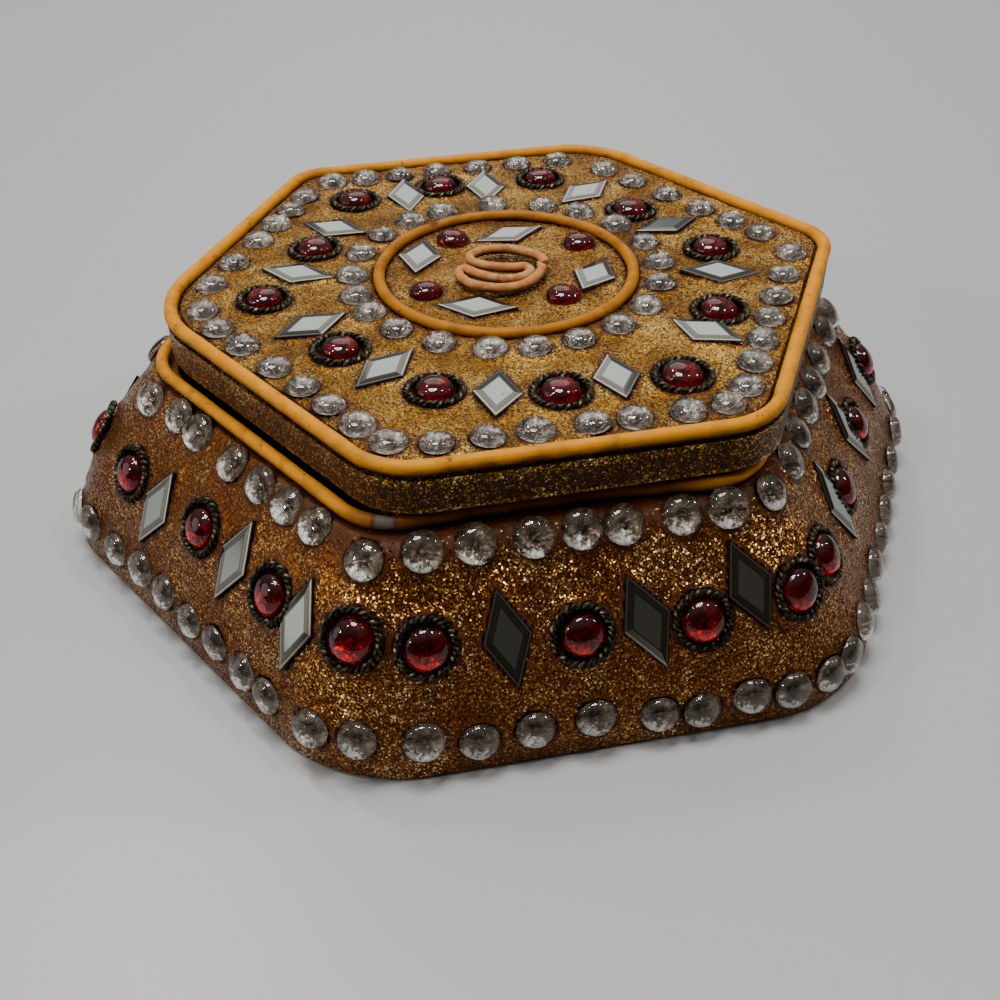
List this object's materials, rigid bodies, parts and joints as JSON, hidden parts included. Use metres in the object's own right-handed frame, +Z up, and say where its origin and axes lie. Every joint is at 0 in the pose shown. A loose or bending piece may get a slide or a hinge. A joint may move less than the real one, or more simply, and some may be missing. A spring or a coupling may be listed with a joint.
{
  "type": "mirrored trinket box",
  "caption": "Low hexagonal trinket box of glitter lac with a flared skirt and a lift-off lid, set all over with clear and red cut stones and rhombic mirrors.",
  "frame": {"origin": "middle of the flat underside", "axes": "+Z up; the long way from corner to corner of the hexagon lies along X, and one flat side faces -Y"},
  "size_m": [0.1006, 0.0918, 0.0296],
  "materials": {
    "skirt_lac": "copper and gold glitter in brown lac",
    "lid_lac": "gold glitter in brown lac",
    "orange_cord": "satin lac cord",
    "copper_cord": "satin lac cord with a gold wash",
    "mirror": "bevelled, silvered",
    "red_glass": "moulded glass over foil",
    "clear_glass": "moulded glass over silver foil",
    "dark_wire": "oxidised twisted wire"
  },
  "bodies": {
    "root": {"box_body": "skirt_lac", "centre_coil": "copper_cord", "centre_mirror_1": "mirror", "centre_mirror_2": "mirror", "centre_mirror_3": "mirror", "centre_mirror_4": "mirror", "centre_red_stone_1": "red_glass", "centre_red_stone_2": "red_glass", "centre_red_stone_3": "red_glass", "centre_red_stone_4": "red_glass", "lid": "lid_lac", "lid_edge_cord": "orange_cord", "lid_mirror_1": "mirror", "lid_mirror_10": "mirror", "lid_mirror_11": "mirror", "lid_mirror_12": "mirror", "lid_mirror_2": "mirror", "lid_mirror_3": "mirror", "lid_mirror_4": "mirror", "lid_mirror_5": "mirror", "lid_mirror_6": "mirror", "lid_mirror_7": "mirror", "lid_mirror_8": "mirror", "lid_mirror_9": "mirror", "lid_red_stone_1": "red_glass", "lid_red_stone_10": "red_glass", "lid_red_stone_11": "red_glass", "lid_red_stone_12": "red_glass", "lid_red_stone_2": "red_glass", "lid_red_stone_3": "red_glass", "lid_red_stone_4": "red_glass", "lid_red_stone_5": "red_glass", "lid_red_stone_6": "red_glass", "lid_red_stone_7": "red_glass", "lid_red_stone_8": "red_glass", "lid_red_stone_9": "red_glass", "lid_ring_cord": "orange_cord", "mouth_cord": "orange_cord", "skirt_mirror_1": "mirror", "skirt_mirror_10": "mirror", "skirt_mirror_11": "mirror", "skirt_mirror_12": "mirror", "skirt_mirror_13": "mirror", "skirt_mirror_14": "mirror", "skirt_mirror_15": "mirror", "skirt_mirror_16": "mirror", "skirt_mirror_17": "mirror", "skirt_mirror_18": "mirror", "skirt_mirror_2": "mirror", "skirt_mirror_3": "mirror", "skirt_mirror_4": "mirror", "skirt_mirror_5": "mirror", "skirt_mirror_6": "mirror", "skirt_mirror_7": "mirror", "skirt_mirror_8": "mirror", "skirt_mirror_9": "mirror"}
  },
  "joints": []
}
